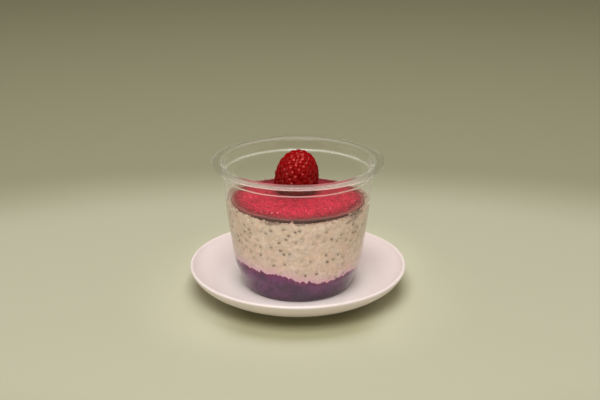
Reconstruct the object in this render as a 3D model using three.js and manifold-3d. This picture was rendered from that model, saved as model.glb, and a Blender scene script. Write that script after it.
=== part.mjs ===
// Layered overnight oats in a clear plastic pot on a small saucer: a berry layer, oats with seeds,
// a thin chocolate disc, raspberry powder and one raspberry standing tip up.
// Millimetres, +Z up. The origin is the centre of the saucer's foot, on the plane it stands on.
import * as THREE from 'three';
import { mergeVertices } from 'three/addons/utils/BufferGeometryUtils.js';
import { ConvexHull } from 'three/addons/math/ConvexHull.js';
import Module from 'manifold-3d';

// Spacing left between pieces that touch, and the number of flats round every turned piece
const gap = 0.3;
const sectors = 48;

// A turn that spreads things evenly round a spiral
const goldenAngle = Math.PI * (3 - Math.sqrt(5));

// Saucer
const saucerRadius = 60.6;
const saucerCrestHeight = 15.6;
const saucerCrestWidth = 1.9;
const saucerFloorHeight = 3.8;
const saucerFloorThickness = 2.6;
const footOuterRadius = 39;
const footInnerRadius = 35.4;
const footEdgeRound = 0.5;

// The saucer's underside from its foot out to its crest, and its upper side back in to its floor
const saucerUnderside = [
  [footOuterRadius + 1.2, 1.9],
  [46.5, 3.4],
  [52.5, 6.2],
  [57.2, 9.6],
  [59.6, 12.6],
  [saucerRadius, saucerCrestHeight - 1.1],
];
const saucerUpperSide = [
  [saucerRadius - saucerCrestWidth, saucerCrestHeight - 0.7],
  [57.0, 12.8],
  [53.0, 9.4],
  [47.5, 6.3],
  [41.0, 4.4],
  [33.0, saucerFloorHeight],
];

// Pot: a thin wall of even thickness from the base to the underside of the lip
const potBaseHeight = saucerFloorHeight + gap;
const potRimHeight = 75.6;
const potWall = 0.6;
const potBaseRadius = 30.1;
const potFootWidth = 1.8;
const potPushUp = 0.9;
const potNeckRadius = 41.45;
const potLedgeHeight = 68.7;
const potLedgeDrop = 1;
const potShoulderRadius = 40.6;
const lipRadius = 47.5;
const lipThickness = 1.2;
const lipEdgeDrop = 1.6;
const lipEdgeThickness = 0.9;
const lipEdgeRound = 0.4;
const lipFillet = 1.4;
const mouthRound = 2.0;

// The pot's outer wall between its base and the ledge: [radius, height]
const potWallStations = [
  [30.6, 5.0],
  [31.9, 8.9],
  [33.1, 12.7],
  [35.3, 19.0],
  [37.5, 33.5],
  [40.0, 53.5],
  [potShoulderRadius, potLedgeHeight - potLedgeDrop],
];

// Berry layer: its upper edge leans, with one dip near the front
const berryMeanHeight = 19.0;
const berryLean = 3.2;
const berryLeanAngle = 215;
const berryDip = 3.4;
const berryDipAngle = 287;
const berryDipWidth = 24;
const berryJag = 0.45;
const berryCornerHeights = [7.5, 9.5];
const innerRing = 0.6;

// Oats layer
const discRadius = 36.8;
const discTopHeight = 53.5;
const discTilt = 0.018;
const discThickness = 2.0;
const discEdgeRound = 0.45;
const discUnevenness = 0.2;
const oatsSetBack = 0.45;
const oatsRelief = 0.16;
const oatsRimWidth = 0.8;
const oatsRimHeight = 54.1;
const oatsRimRise = 1.7;
const oatsRimLow = 1.3;
const oatsRimBack = 2.0;
const oatsRimJag = 0.35;
const oatsRimDip = 2.4;
const oatsRimDipAngle = 320;
const oatsRimDipWidth = 12;
const seedCount = 72;
const seedLength = 2.2;
const seedWidth = 1.5;
const seedDepth = 1.1;
const seedClearanceBelow = 3;
const seedClearanceAbove = 2;

// Raspberry powder
const powderRadius = 34.7;
const powderUnevenness = 0.6;
const powderFoot = 0.35;
const powderEdgeThickness = 1.2;
const powderCrownHeight = 57.0;
const powderGrain = 0.28;

// Raspberry: an egg shape with a flattened foot, covered in drupelets, its tip a little off to one side
const raspberryFootHeight = powderCrownHeight + gap;
const raspberryTipHeight = 80.8;
const raspberryWidestHeight = 64.6;
const raspberryRadius = 12.4;
const raspberryFootShift = -1.3;
const raspberryTipShift = 0.5;
const raspberryFootFlatness = 0.62;
const raspberryTipBluntness = 0.9;
const drupeletCount = 132;
const drupeletDepth = 1.15;
const drupeletShoulder = 0.62;
const drupeletShoulderDrop = 0.32;

const wasm = await Module();
wasm.setup();

// A repeatable random number from 0 to 1
function seededRandom(seed) {
  let state = seed;
  return () => {
    state = (state * 1664525 + 1013904223) % 4294967296;
    return state / 4294967296;
  };
}

function solidFrom(geometry) {
  const bare = geometry.clone();
  bare.deleteAttribute('normal');
  bare.deleteAttribute('uv');
  const merged = mergeVertices(bare, 1e-4);
  const vertProperties = new Float32Array(merged.attributes.position.array);
  const triVerts = new Uint32Array(merged.index.array);
  return new wasm.Manifold(new wasm.Mesh({ numProp: 3, vertProperties, triVerts }));
}

function geometryFrom(solid) {
  const mesh = solid.getMesh();
  const geometry = new THREE.BufferGeometry();
  geometry.setAttribute('position', new THREE.BufferAttribute(new Float32Array(mesh.vertProperties), 3));
  geometry.setIndex(new THREE.BufferAttribute(new Uint32Array(mesh.triVerts), 1));
  geometry.computeVertexNormals();
  return geometry;
}

// A round body from rows of points that run from its lower pole to its upper pole.
// Each row gives [radius, height] at an angle; the first and the last row are the poles.
function turnedGeometry(rows) {
  const positions = [];
  const index = [];
  const lastRow = rows.length - 1;
  const at = (row, sector) => (row === 0 ? 0 : 1 + (row - 1) * sectors + (sector % sectors));
  positions.push(0, 0, rows[0](0)[1]);
  for (let row = 1; row < lastRow; row += 1) {
    for (let sector = 0; sector < sectors; sector += 1) {
      const angle = (sector / sectors) * 2 * Math.PI;
      const [radius, height] = rows[row](angle);
      positions.push(radius * Math.cos(angle), radius * Math.sin(angle), height);
    }
  }
  const top = positions.length / 3;
  positions.push(0, 0, rows[lastRow](0)[1]);
  for (let sector = 0; sector < sectors; sector += 1) {
    index.push(0, at(1, sector + 1), at(1, sector));
    for (let row = 1; row < lastRow - 1; row += 1) {
      index.push(at(row, sector), at(row, sector + 1), at(row + 1, sector + 1));
      index.push(at(row, sector), at(row + 1, sector + 1), at(row + 1, sector));
    }
    index.push(at(lastRow - 1, sector), at(lastRow - 1, sector + 1), top);
  }
  const geometry = new THREE.BufferGeometry();
  geometry.setAttribute('position', new THREE.Float32BufferAttribute(positions, 3));
  geometry.setIndex(index);
  geometry.computeVertexNormals();
  return geometry;
}

// A lathe about +Z from a profile of [radius, height] points that starts and ends on the axis
function latheAboutZ(profile) {
  const points = profile.map(([radius, height]) => new THREE.Vector2(radius, height));
  return new THREE.LatheGeometry(points, sectors).rotateX(Math.PI / 2);
}

// Points of an arc about a centre, from one direction to another
function arcPoints(centreRadius, centreHeight, size, fromDegrees, toDegrees, steps) {
  const points = [];
  for (let step = 0; step <= steps; step += 1) {
    const angle = THREE.MathUtils.degToRad(fromDegrees + ((toDegrees - fromDegrees) * step) / steps);
    points.push([centreRadius + size * Math.cos(angle), centreHeight + size * Math.sin(angle)]);
  }
  return points;
}

function smoothThrough(stations, steps) {
  const curve = new THREE.SplineCurve(stations.map(([radius, height]) => new THREE.Vector2(radius, height)));
  return curve.getPoints(steps).map((point) => [point.x, point.y]);
}

// Moves an open outline sideways, towards its left when it runs up the outside of the pot
function offsetOutline(outline, distance) {
  return outline.map(([radius, height], i) => {
    const before = outline[Math.max(i - 1, 0)];
    const after = outline[Math.min(i + 1, outline.length - 1)];
    const along = new THREE.Vector2(after[0] - before[0], after[1] - before[1]).normalize();
    return [radius - along.y * distance, height + along.x * distance];
  });
}

// The outside of the pot from its pushed-up base to the ledge
function potBodyOutline(wallSteps) {
  return [
    [potBaseRadius - potFootWidth - potPushUp, potBaseHeight + potPushUp],
    [potBaseRadius - potFootWidth, potBaseHeight],
    [potBaseRadius, potBaseHeight],
    ...smoothThrough(potWallStations, wallSteps),
  ];
}

const fineOutline = potBodyOutline(60);
const fillOutline = offsetOutline(fineOutline, potWall + gap);

// How far out the contents may reach at a height, and how low at a radius
function fillRadius(height) {
  const wall = fillOutline.slice(2);
  for (let i = 1; i < wall.length; i += 1) {
    if (height <= wall[i][1]) {
      const share = (height - wall[i - 1][1]) / (wall[i][1] - wall[i - 1][1]);
      return THREE.MathUtils.lerp(wall[i - 1][0], wall[i][0], Math.max(share, 0));
    }
  }
  return wall[wall.length - 1][0];
}

function saucerGeometry() {
  const crestRound = saucerCrestWidth / 2;
  const recess = saucerFloorHeight - saucerFloorThickness;
  return latheAboutZ([
    [0, recess],
    [footInnerRadius - footEdgeRound, recess],
    [footInnerRadius, footEdgeRound],
    [footInnerRadius + footEdgeRound, 0],
    [footOuterRadius - footEdgeRound, 0],
    [footOuterRadius, footEdgeRound],
    ...smoothThrough(saucerUnderside, 5),
    ...arcPoints(saucerRadius - crestRound, saucerCrestHeight - crestRound, crestRound, 20, 140, 4),
    ...smoothThrough(saucerUpperSide, 5),
    [0, saucerFloorHeight],
  ]);
}

function potGeometry() {
  const body = potBodyOutline(9);
  const bodyInside = offsetOutline(body, potWall).reverse();
  const neckInside = potNeckRadius - potWall;
  const lipUnderside = potRimHeight - lipThickness;
  const lipEdgeHeight = potRimHeight - lipEdgeDrop;
  return latheAboutZ([
    [0, potBaseHeight + potPushUp],
    ...body,
    [potNeckRadius, potLedgeHeight],
    [potNeckRadius, lipUnderside - lipFillet],
    [potNeckRadius + lipFillet, lipUnderside],
    [lipRadius - lipEdgeThickness, lipUnderside],
    [lipRadius - lipEdgeThickness, lipEdgeHeight],
    [lipRadius - lipEdgeRound, lipEdgeHeight],
    [lipRadius, lipEdgeHeight + lipEdgeRound],
    [lipRadius, potRimHeight - lipEdgeRound],
    [lipRadius - lipEdgeRound, potRimHeight],
    ...arcPoints(neckInside + mouthRound, potRimHeight - mouthRound, mouthRound, 90, 180, 2),
    [neckInside, potLedgeHeight + potWall],
    ...bodyInside,
    [0, potBaseHeight + potPushUp + potWall],
  ]);
}

// Sum of a few waves round the body, from -1 to 1
function waves(angle, counts, phase) {
  const sum = counts.reduce((total, count, i) => total + Math.sin(count * angle + phase * (i + 1)), 0);
  return sum / counts.length;
}

// Height of the line between the berry layer and the oats
function berryTop(angle, radiusShare) {
  const degrees = THREE.MathUtils.radToDeg(angle);
  const lean = berryLean * Math.cos(angle - THREE.MathUtils.degToRad(berryLeanAngle));
  const dip = berryDip * Math.exp(-(((degrees - berryDipAngle) / berryDipWidth) ** 2));
  const jag = berryJag * waves(angle, [7, 11, 16], 1.3);
  return berryMeanHeight + radiusShare * (lean - dip + jag);
}

function berryLayerGeometry() {
  const [pushedUpEdge, footInnerEdge, footOuterEdge] = fillOutline;
  const rows = [
    () => [0, pushedUpEdge[1]],
    () => pushedUpEdge,
    () => footInnerEdge,
    () => footOuterEdge,
    ...berryCornerHeights.map((height) => () => [fillRadius(height), height]),
  ];
  for (const share of [0.5, 1]) {
    rows.push((angle) => {
      const height = THREE.MathUtils.lerp(berryCornerHeights[1], berryTop(angle, 1), share);
      return [fillRadius(height), height];
    });
  }
  rows.push((angle) => [fillRadius(berryMeanHeight) * innerRing, berryTop(angle, innerRing)]);
  rows.push(() => [0, berryTop(0, 0)]);
  return turnedGeometry(rows);
}

// The disc and the powder on it lean a little: they are higher at the front
function discLean(angle, radius) {
  return -discTilt * radius * Math.sin(angle);
}

// The oats stand up round the disc: highest on the left, lower at the front and the back, with one dip
function oatsRimTop(angle) {
  const left = Math.max(-Math.cos(angle), 0);
  const front = Math.max(-Math.sin(angle), 0);
  const back = Math.max(Math.sin(angle), 0);
  const jag = oatsRimJag * waves(angle, [5, 9, 14], 2.1);
  const fromDip = (THREE.MathUtils.radToDeg(angle) - oatsRimDipAngle) / oatsRimDipWidth;
  const dip = oatsRimDip * Math.exp(-(fromDip ** 2));
  return oatsRimHeight + oatsRimRise * left - oatsRimLow * front - oatsRimBack * back - dip + jag;
}

function oatsSideRadius(angle, height) {
  const lumps = waves(angle, [6, 11, 16], 0.4 + height * 0.9);
  return fillRadius(height) - oatsSetBack - oatsRelief * (1 + lumps);
}

function oatsCoreGeometry() {
  const discSeat = discTopHeight - discThickness - gap;
  const seatRadius = discRadius + discUnevenness + gap;
  const rows = [
    () => [0, berryTop(0, 0) + gap],
    (angle) => [fillRadius(berryMeanHeight) * innerRing, berryTop(angle, innerRing) + gap],
  ];
  for (const share of [0, 0.2, 0.4, 0.6, 0.8, 0.96]) {
    rows.push((angle) => {
      const height = THREE.MathUtils.lerp(berryTop(angle, 1) + gap, oatsRimTop(angle), share);
      return [oatsSideRadius(angle, height), height];
    });
  }
  rows.push((angle) => [seatRadius + oatsRimWidth / 2, oatsRimTop(angle)]);
  rows.push((angle) => [seatRadius, discSeat + discLean(angle, seatRadius)]);
  rows.push(() => [0, discSeat]);
  return turnedGeometry(rows);
}

// One seed half sunk in the side of the oats, lying along it
function seedGeometry(angle, height, turn) {
  const radius = fillRadius(height) - seedDepth / 2;
  return new THREE.IcosahedronGeometry(0.5, 0)
    .scale(seedDepth, seedLength, seedWidth)
    .rotateX(turn)
    .rotateZ(angle)
    .translate(radius * Math.cos(angle), radius * Math.sin(angle), height);
}

function oatsGeometry() {
  const random = seededRandom(41);
  let oats = solidFrom(oatsCoreGeometry());
  for (let i = 0; i < seedCount; i += 1) {
    const angle = (i * goldenAngle) % (2 * Math.PI);
    const low = berryTop(angle, 1) + seedClearanceBelow;
    const high = oatsRimTop(angle) - seedClearanceAbove;
    const height = THREE.MathUtils.lerp(low, high, (i + random()) / seedCount);
    oats = oats.add(solidFrom(seedGeometry(angle, height, random() * Math.PI)));
  }
  return geometryFrom(oats);
}

function chocolateDiscGeometry() {
  const low = discTopHeight - discThickness;
  const ring = (inset, height) => (angle) => {
    const radius = discRadius - inset + discUnevenness * waves(angle, [3, 8, 13], 0.7);
    return [radius, height + discLean(angle, radius)];
  };
  return turnedGeometry([
    () => [0, low],
    ring(discEdgeRound, low),
    ring(0, low + discEdgeRound),
    ring(0, discTopHeight - discEdgeRound),
    ring(discEdgeRound, discTopHeight),
    () => [0, discTopHeight],
  ]);
}

function powderGeometry() {
  const random = seededRandom(7);
  const floor = discTopHeight + gap;
  const crown = powderCrownHeight - powderGrain;
  const edge = (angle) => powderRadius + powderUnevenness * waves(angle, [4, 9, 15], 1.9);
  const leaning = (angle, radius, height) => [radius, height + discLean(angle, radius)];
  const rows = [
    () => [0, floor],
    (angle) => leaning(angle, edge(angle) - powderFoot, floor),
    (angle) => leaning(angle, edge(angle), floor + powderFoot),
  ];
  for (const share of [0.97, 0.88, 0.78, 0.67, 0.55, 0.43, 0.31]) {
    rows.push((angle) => {
      const height = THREE.MathUtils.lerp(crown, floor + powderEdgeThickness, share ** 3);
      return leaning(angle, edge(angle) * share, height + powderGrain * (2 * random() - 1));
    });
  }
  rows.push(() => [0, crown]);
  return turnedGeometry(rows);
}

// A point of the raspberry's side outline, from its foot at -90 degrees to its tip at 90: [radius, height]
function raspberryOutline(degrees) {
  const angle = THREE.MathUtils.degToRad(degrees);
  const across = Math.max(Math.cos(angle), 0);
  const along = Math.abs(Math.sin(angle));
  if (degrees > 0) {
    const rise = (raspberryTipHeight - raspberryWidestHeight) * along;
    return [raspberryRadius * across ** raspberryTipBluntness, raspberryWidestHeight + rise];
  }
  const drop = (raspberryWidestHeight - raspberryFootHeight) * along ** raspberryFootFlatness;
  return [raspberryRadius * across ** raspberryFootFlatness, raspberryWidestHeight - drop];
}

// Drupelet tips spread evenly over the raspberry, along a spiral from the foot to the tip
function drupeletTips() {
  const steps = 360;
  const outline = [];
  let area = 0;
  for (let step = 0; step <= steps; step += 1) {
    const [radius, height] = raspberryOutline((180 * step) / steps - 90);
    if (step > 0) {
      const last = outline[step - 1];
      area += Math.PI * (radius + last.radius) * Math.hypot(radius - last.radius, height - last.height);
    }
    outline.push({ radius, height, area });
  }
  const tips = [];
  for (let i = 0; i < drupeletCount; i += 1) {
    const wanted = (area * (i + 0.5)) / drupeletCount;
    const { radius, height } = outline.find((point) => point.area >= wanted);
    const rise = (height - raspberryFootHeight) / (raspberryTipHeight - raspberryFootHeight);
    const shift = THREE.MathUtils.lerp(raspberryFootShift, raspberryTipShift, rise);
    const angle = i * goldenAngle;
    tips.push(new THREE.Vector3(radius * Math.cos(angle) + shift, radius * Math.sin(angle), height));
  }
  return tips;
}

// The places where three drupelets meet: the middles of the facets that join their tips
function drupeletMeetings(tips) {
  const hull = new ConvexHull().setFromPoints(tips);
  return hull.faces.map((face) => {
    const owners = [];
    let edge = face.edge;
    do {
      owners.push(tips.indexOf(edge.head().point));
      edge = edge.next;
    } while (edge !== face.edge);
    const middle = new THREE.Vector3();
    owners.forEach((owner) => middle.addScaledVector(tips[owner], 1 / owners.length));
    return { owners, middle, normal: face.normal.clone() };
  });
}

// Sorts the meetings round one drupelet so that they run anticlockwise seen from outside
function meetingsRound(tip, owner, meetings) {
  const own = meetings.filter((meeting) => meeting.owners.includes(owner));
  const outward = new THREE.Vector3();
  own.forEach((meeting) => outward.add(meeting.normal));
  outward.normalize();
  const across = own[0].middle.clone().sub(tip).projectOnPlane(outward).normalize();
  const along = outward.clone().cross(across);
  const turn = (meeting) => {
    const arm = meeting.middle.clone().sub(tip);
    return Math.atan2(arm.dot(along), arm.dot(across));
  };
  return { outward, ring: own.sort((a, b) => turn(a) - turn(b)) };
}

// Each drupelet is a dome: its tip, a shoulder and the crease where it meets its neighbours
function raspberryGeometry() {
  const tips = drupeletTips();
  const meetings = drupeletMeetings(tips);
  const vertices = tips.map((tip) => tip.clone());
  meetings.forEach((meeting) => {
    meeting.index = vertices.length;
    vertices.push(meeting.middle.clone().addScaledVector(meeting.normal, -drupeletDepth));
  });
  const index = [];
  tips.forEach((tip, owner) => {
    const { outward, ring } = meetingsRound(tip, owner, meetings);
    const shoulder = vertices.length;
    ring.forEach((meeting) => {
      const point = tip.clone().lerp(meeting.middle, drupeletShoulder);
      vertices.push(point.addScaledVector(outward, -drupeletShoulderDrop * drupeletDepth));
    });
    ring.forEach((meeting, i) => {
      const next = (i + 1) % ring.length;
      index.push(owner, shoulder + i, shoulder + next);
      index.push(shoulder + i, meeting.index, ring[next].index);
      index.push(shoulder + i, ring[next].index, shoulder + next);
    });
  });
  const geometry = new THREE.BufferGeometry().setFromPoints(vertices);
  geometry.setIndex(index);
  geometry.computeVertexNormals();
  return geometry;
}

function piece(name, geometry, settings) {
  const mesh = new THREE.Mesh(geometry, new THREE.MeshStandardMaterial(settings));
  mesh.name = name;
  return mesh;
}

const part = new THREE.Group();
part.add(piece('saucer', saucerGeometry(), { color: 0xe9dcd6, roughness: 0.45, metalness: 0 }));
part.add(piece('pot', potGeometry(), {
  color: 0xf2f5ee, roughness: 0.05, metalness: 0, transparent: true, opacity: 0.25,
}));
part.add(piece('berry_layer', berryLayerGeometry(), { color: 0x583e52, roughness: 0.5, metalness: 0 }));
part.add(piece('oats_layer', oatsGeometry(), { color: 0xc8b096, roughness: 0.7, metalness: 0 }));
part.add(piece('chocolate_disc', chocolateDiscGeometry(), { color: 0x4a2c22, roughness: 0.5, metalness: 0 }));
part.add(piece('raspberry_powder', powderGeometry(), { color: 0xcd424e, roughness: 0.9, metalness: 0 }));
part.add(piece('raspberry', raspberryGeometry(), { color: 0x8b0e0c, roughness: 0.3, metalness: 0 }));

export default part;
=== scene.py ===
import random
from math import atan2, cos, exp, hypot, pi, radians, sin, sqrt

import bpy
import numpy as np
from mathutils import Matrix, Vector, kdtree, noise


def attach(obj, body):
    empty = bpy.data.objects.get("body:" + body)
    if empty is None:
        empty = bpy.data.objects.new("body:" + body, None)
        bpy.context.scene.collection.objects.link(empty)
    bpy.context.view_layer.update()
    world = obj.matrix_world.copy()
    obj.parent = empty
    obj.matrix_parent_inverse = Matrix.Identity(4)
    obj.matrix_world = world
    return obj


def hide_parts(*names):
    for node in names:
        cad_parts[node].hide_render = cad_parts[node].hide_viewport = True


mm = 0.001
full_turn = 2 * pi

# A turn that spreads things evenly round a spiral
golden_angle = pi * (3 - sqrt(5))

# Flats round the turned pieces, and the distance under which points are joined
shell_sectors = 240
food_sectors = 480
weld = 0.002 * mm

# Spacing that the solids keep where pieces touch, and the hair-thin one kept between the contents
solid_gap = 0.3 * mm
food_gap = 0.02 * mm

# Saucer. Outlines here and below are radii and heights in millimetres
saucer_radius = 60.6 * mm
saucer_crest_height = 15.6 * mm
saucer_crest_width = 1.9 * mm
saucer_floor_height = 3.8 * mm
saucer_floor_thickness = 2.6 * mm
foot_outer_radius = 39 * mm
foot_inner_radius = 35.4 * mm
foot_edge_round = 0.5 * mm
saucer_underside = [(40.2, 1.9), (46.5, 3.4), (52.5, 6.2), (57.2, 9.6), (59.6, 12.6), (60.6, 14.5)]
saucer_upper_side = [(58.7, 14.9), (57.0, 12.8), (53.0, 9.4), (47.5, 6.3), (41.0, 4.4), (33.0, 3.8)]

# Pot: a thin wall of even thickness from the base to the underside of the lip
pot_base_height = saucer_floor_height + solid_gap
pot_rim_height = 75.6 * mm
pot_wall = 0.6 * mm
pot_base_radius = 30.1 * mm
pot_foot_width = 1.8 * mm
pot_push_up = 0.9 * mm
pot_neck_radius = 41.45 * mm
pot_ledge_height = 68.7 * mm
pot_ledge_round = 0.35 * mm
lip_radius = 47.5 * mm
lip_thickness = 1.2 * mm
lip_edge_drop = 1.6 * mm
lip_edge_thickness = 0.9 * mm
lip_edge_round = 0.4 * mm
lip_corner_round = 0.3 * mm
lip_fillet = 1.4 * mm
mouth_round = 2.0 * mm
pot_wall_stations = [
    (30.6, 5.0), (31.9, 8.9), (33.1, 12.7), (35.3, 19.0), (37.5, 33.5), (40.0, 53.5), (40.6, 67.7),
]

# How far the contents reach into the pot's wall, so that no air shows between them
into_wall = 0.25 * mm
base_skin = 0.12 * mm

# Berry layer: its upper edge leans, dips near the front and is ragged
berry_mean_height = 19.0 * mm
berry_lean = 3.2 * mm
berry_lean_angle = radians(215)
berry_dip = 3.4 * mm
berry_dip_angle = radians(287)
berry_dip_width = radians(24)
berry_jag = 0.45 * mm
berry_corner_height = 7.5 * mm
berry_ragged = 1.1 * mm
berry_tint_reach = 1.2 * mm
berry_bleed_reach = 3.2 * mm

# Chocolate disc: it leans a little, higher at the front
disc_radius = 36.8 * mm
disc_top = 53.5 * mm
disc_tilt = 0.018
disc_thickness = 2.0 * mm
disc_unevenness = 0.2 * mm
dust_reach = 4.5 * mm
dust_fall = 2.2 * mm

# Oats round and under the disc
oats_side_radius = 38 * mm
oats_rim_height = 54.1 * mm
oats_rim_rise = 1.7 * mm
oats_rim_low = 1.3 * mm
oats_rim_back = 2.0 * mm
oats_rim_jag = 0.35 * mm
oats_rim_round = 0.7 * mm
oats_rim_dip = 2.4 * mm
oats_rim_dip_angle = radians(320)
oats_rim_dip_width = radians(12)

# Where painted shade darkens the oats next to the disc: angle in degrees, height, slope, length and width
painted_shade_places = [
    (324, 52.1 * mm, 0.28, 6.5 * mm, 2.7 * mm),
    (314, 50.2 * mm, 0.2, 3 * mm, 1.2 * mm),
    (282, 53.4 * mm, 0, 5 * mm, 1.3 * mm),
    (272, 52.8 * mm, 0, 3 * mm, 1.4 * mm),
    (250, 52.6 * mm, 0.1, 6 * mm, 1.9 * mm),
]

# The disc's seat in the oats
seat_radius = disc_radius + 0.5 * mm
seat_height = disc_top - disc_thickness - food_gap

# Raspberry powder
powder_radius = 34.7 * mm
powder_unevenness = 0.6 * mm
powder_crown = 56.9 * mm
powder_edge = 54.1 * mm
powder_thin_reach = 7 * mm

# Raspberry
raspberry_foot = 57.3 * mm
raspberry_tip = 80.9 * mm
raspberry_widest = 64.6 * mm
raspberry_radius = 12.4 * mm
raspberry_foot_shift = -1.3 * mm
raspberry_tip_shift = 0.5 * mm
raspberry_foot_flatness = 0.62
raspberry_tip_bluntness = 0.9

# How many there are of each small thing
seed_count = 200
flake_count = 230
clump_count = 330
oat_bit_count = 480
chocolate_bit_count = 110
crumb_count = 5600
drupelet_count = 132

# Studio
floor_width = 9
camera_lens = 64.14
camera_sensor = 36
camera_place = (0.0012, -0.5561, 0.2549)
camera_tilt = radians(69.96)


# Helpers: outlines

def in_metres(points):
    return [(radius * mm, height * mm) for radius, height in points]


def smooth_through(stations, steps):
    """Points of one smooth curve through the stations."""
    last = len(stations) - 1
    points = []
    for step in range(steps + 1):
        place = step / steps * last
        i = min(int(place), last - 1)
        t = place - i
        before, start, end, after = [Vector(stations[min(max(i + k, 0), last)]) for k in (-1, 0, 1, 2)]
        leaving = (end - before) / 2
        arriving = (after - start) / 2
        point = (
            start * (2 * t**3 - 3 * t**2 + 1)
            + leaving * (t**3 - 2 * t**2 + t)
            + end * (3 * t**2 - 2 * t**3)
            + arriving * (t**3 - t**2)
        )
        points.append(tuple(point))
    return points


def arc(centre_radius, centre_height, size, start, end, steps):
    """Points of an arc between two directions in degrees."""
    angles = [radians(start + (end - start) * step / steps) for step in range(steps + 1)]
    return [(centre_radius + size * cos(angle), centre_height + size * sin(angle)) for angle in angles]


def rounded_corner(before, corner, after, size, steps=4):
    """Points that round a corner between two neighbours."""
    corner = Vector(corner)
    start = corner + (Vector(before) - corner).normalized() * size
    end = corner + (Vector(after) - corner).normalized() * size
    shares = [step / steps for step in range(steps + 1)]
    return [tuple(start * (1 - t) ** 2 + corner * 2 * t * (1 - t) + end * t**2) for t in shares]


def offset_outline(outline, distance):
    """Moves an open outline sideways, inwards when it runs up the outside of the pot."""
    moved = []
    for i, (radius, height) in enumerate(outline):
        before = Vector(outline[max(i - 1, 0)])
        after = Vector(outline[min(i + 1, len(outline) - 1)])
        along = (after - before).normalized()
        moved.append((radius - along.y * distance, height + along.x * distance))
    return moved


def pot_outline(steps):
    """The outside of the pot from its pushed-up base to just under the ledge."""
    base = [
        (pot_base_radius - pot_foot_width - pot_push_up, pot_base_height + pot_push_up),
        (pot_base_radius - pot_foot_width, pot_base_height),
        (pot_base_radius, pot_base_height),
    ]
    return base + smooth_through(in_metres(pot_wall_stations), steps)


contents_outline = offset_outline(pot_outline(60), pot_wall - into_wall)
contents_outline[1] = (pot_base_radius - pot_foot_width, pot_base_height + base_skin)
contents_outline[2] = (pot_base_radius - 0.4 * base_skin, pot_base_height + base_skin)


def contents_radius(height):
    """How far out the contents reach at a height."""
    wall = contents_outline[2:]
    for (low_radius, low), (high_radius, high) in zip(wall, wall[1:]):
        if height <= high:
            share = max(height - low, 0) / (high - low)
            return low_radius + (high_radius - low_radius) * share
    return wall[-1][0]


# Helpers: heights and edges of the contents

def at_angle(angle, radius, height):
    return Vector((radius * cos(angle), radius * sin(angle), height))


def polar(point):
    """The angle and radius of a point."""
    return atan2(point.y, point.x), hypot(point.x, point.y)


def wall_point(angle, height, share=1):
    """Where the contents meet the wall at a height, or a share of the way out to it."""
    return at_angle(angle, contents_radius(height) * share, height)


def waves(angle, counts, phase):
    """Mean of a few waves round the body, from -1 to 1."""
    return sum(sin(count * angle + phase * (i + 1)) for i, count in enumerate(counts)) / len(counts)


def ring_noise(angle, fineness, layer):
    """Smooth noise round the body, from about -1 to 1, without a seam."""
    return noise.noise(Vector((cos(angle) * fineness, sin(angle) * fineness, layer)))


def berry_top(angle, share=1):
    """Height of the berry layer's top at an angle, from its middle at share 0 to the wall at share 1."""
    lean = berry_lean * cos(angle - berry_lean_angle)
    dip = berry_dip * exp(-(((angle % full_turn) - berry_dip_angle) / berry_dip_width) ** 2)
    jag = berry_jag * waves(angle, (7, 11, 16), 1.3)
    teeth = ring_noise(angle, 17, 1.5) + 1.2 * ring_noise(angle, 36, 7.5) + 0.6 * ring_noise(angle, 80, 2.5)
    ragged = berry_ragged * teeth * share**6
    return berry_mean_height + share * (lean - dip + jag) + ragged


def disc_lean(y):
    """How much higher the leaning disc lies at a place than in its middle."""
    return -disc_tilt * y


def near_dip(angle):
    """1 at the dip in the oats' rim, 0 away from it."""
    return exp(-(((angle % full_turn) - oats_rim_dip_angle) / oats_rim_dip_width) ** 2)


def oats_rim_top(angle):
    """The oats stand up round the disc: highest on the left, lower at the front, with one dip."""
    left = max(-cos(angle), 0)
    front = max(-sin(angle), 0)
    back = max(sin(angle), 0)
    jag = oats_rim_jag * waves(angle, (5, 9, 14), 2.1)
    low = oats_rim_low * front + oats_rim_back * back + oats_rim_dip * near_dip(angle)
    return oats_rim_height + oats_rim_rise * left - low + jag


def oats_crumbs(angle):
    """How much crumbs raise or lower the oats' upper edge."""
    return 1.4 * mm * ring_noise(angle, 14, 4.5) + 1.2 * mm * ring_noise(angle, 36, 9.5) - 0.5 * mm


def oats_rim_point(angle, share):
    """A point on top of the oats' rim, from the wall at share 0 to the edge of the disc at share 1.

    At both sides the oats stand closer to the disc and higher against it.
    """
    side = max(0, min(1, (cos(angle) ** 2 - 0.3) / 0.5))
    wall_radius = contents_radius(oats_rim_top(angle))
    out = wall_radius + (seat_radius - 0.25 * side * mm - wall_radius) * share
    seat = seat_height + disc_lean(out * sin(angle))
    dome = oats_rim_round * (sin(pi * min(share * 2.4, 1)) * 0.35 - 1)
    edge_height = oats_rim_top(angle) + oats_crumbs(angle) + dome
    low = seat + (0.4 + 0.8 * side) * mm
    level = min(max(edge_height, low), seat + disc_thickness - (0.3 - 0.4 * side) * mm)
    inward = min(share / 0.5, 1)
    height = edge_height + (level - edge_height) * inward**2 * (3 - 2 * inward)
    return at_angle(angle, out, seat + (height - seat) * (1 - (1 - 0.9 * side) * share**6))


def painted_shade_share(point):
    """1 in the middle of a place with painted shade, 0 away from them."""
    angle = atan2(point.y, point.x) % full_turn
    most = 0
    for middle, height, slope, length, width in painted_shade_places:
        along = (angle - radians(middle)) * oats_side_radius
        up = point.z - height - slope * along
        most = max(most, exp(-((along / length) ** 2) - (up / width) ** 2))
    return most


def powder_edge_radius(angle):
    uneven = powder_unevenness * waves(angle, (4, 9, 15), 1.9)
    return powder_radius + uneven + 0.5 * mm * ring_noise(angle, 16, 3.5)


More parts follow.
